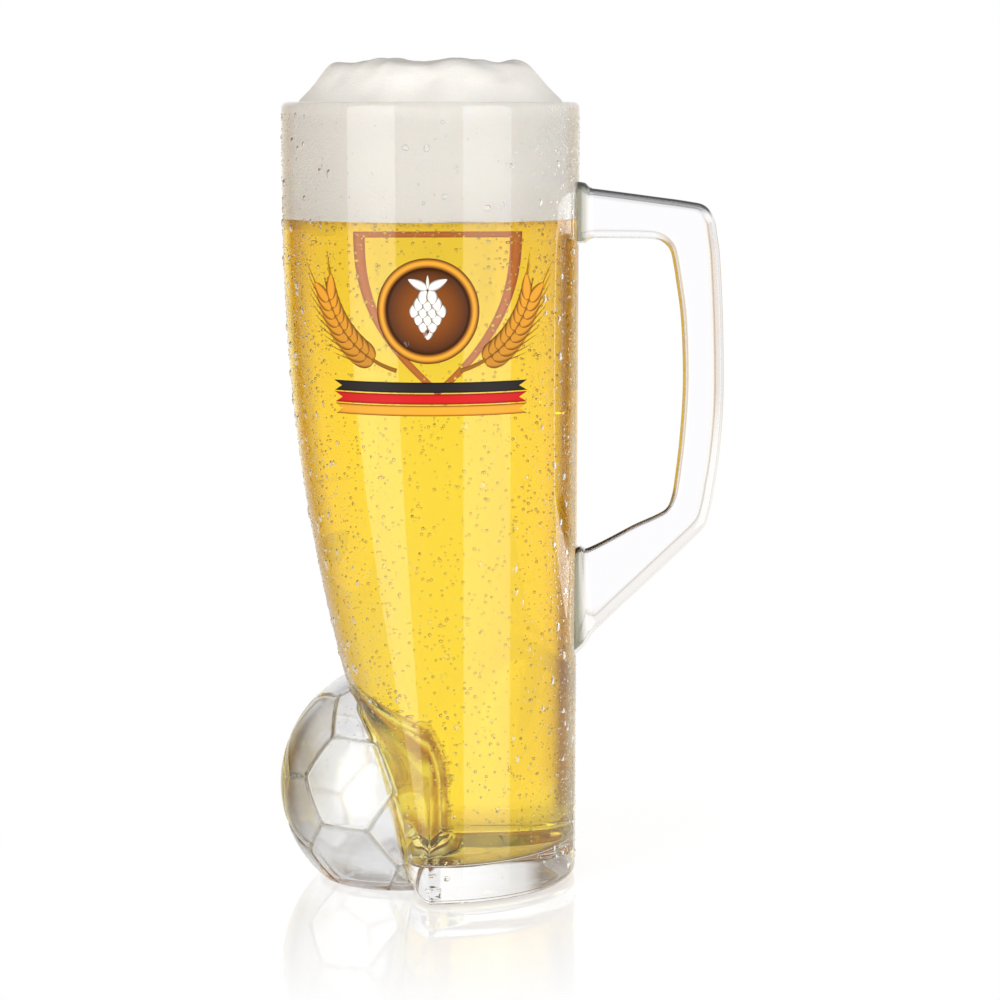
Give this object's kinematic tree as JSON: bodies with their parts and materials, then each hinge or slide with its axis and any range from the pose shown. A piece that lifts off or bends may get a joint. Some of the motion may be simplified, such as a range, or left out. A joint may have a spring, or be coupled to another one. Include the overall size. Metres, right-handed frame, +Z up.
{
  "type": "beer mug",
  "caption": "Tall clear glass beer mug with a side handle, a glass football fused into its swept foot, enamel prints, golden beer and a foam head.",
  "frame": {"origin": "on the vessel's upright axis, at the flat face it stands on", "axes": "+Z up along the vessel's axis, +X towards the handle, so the football is towards -X and the front print towards -Y"},
  "size_m": [0.116, 0.078, 0.2134],
  "materials": {
    "clear_glass": "polished pressed glass",
    "ball_glass": "pressed glass with moulded seams",
    "handle_glass": "fire-polished glass",
    "lager": "clear golden liquid",
    "foam": "fine ivory foam",
    "brown_enamel": "fired enamel",
    "gold_enamel": "fired gold enamel",
    "dark_enamel": "fired enamel",
    "red_enamel": "fired enamel",
    "ochre_enamel": "fired enamel"
  },
  "bodies": {
    "root": {"glass_vessel": "clear_glass", "glass_football": "ball_glass", "handle": "handle_glass", "beer": "lager", "foam_head": "foam", "print_medallion": "brown_enamel", "print_medallion_ring": "gold_enamel", "print_emblem": "gold_enamel", "print_barley_left": "gold_enamel", "print_barley_right": "gold_enamel", "print_band_dark": "dark_enamel", "print_band_red": "red_enamel", "print_band_gold": "gold_enamel", "back_print_shield": "ochre_enamel", "back_print_star": "ochre_enamel"}
  },
  "joints": []
}
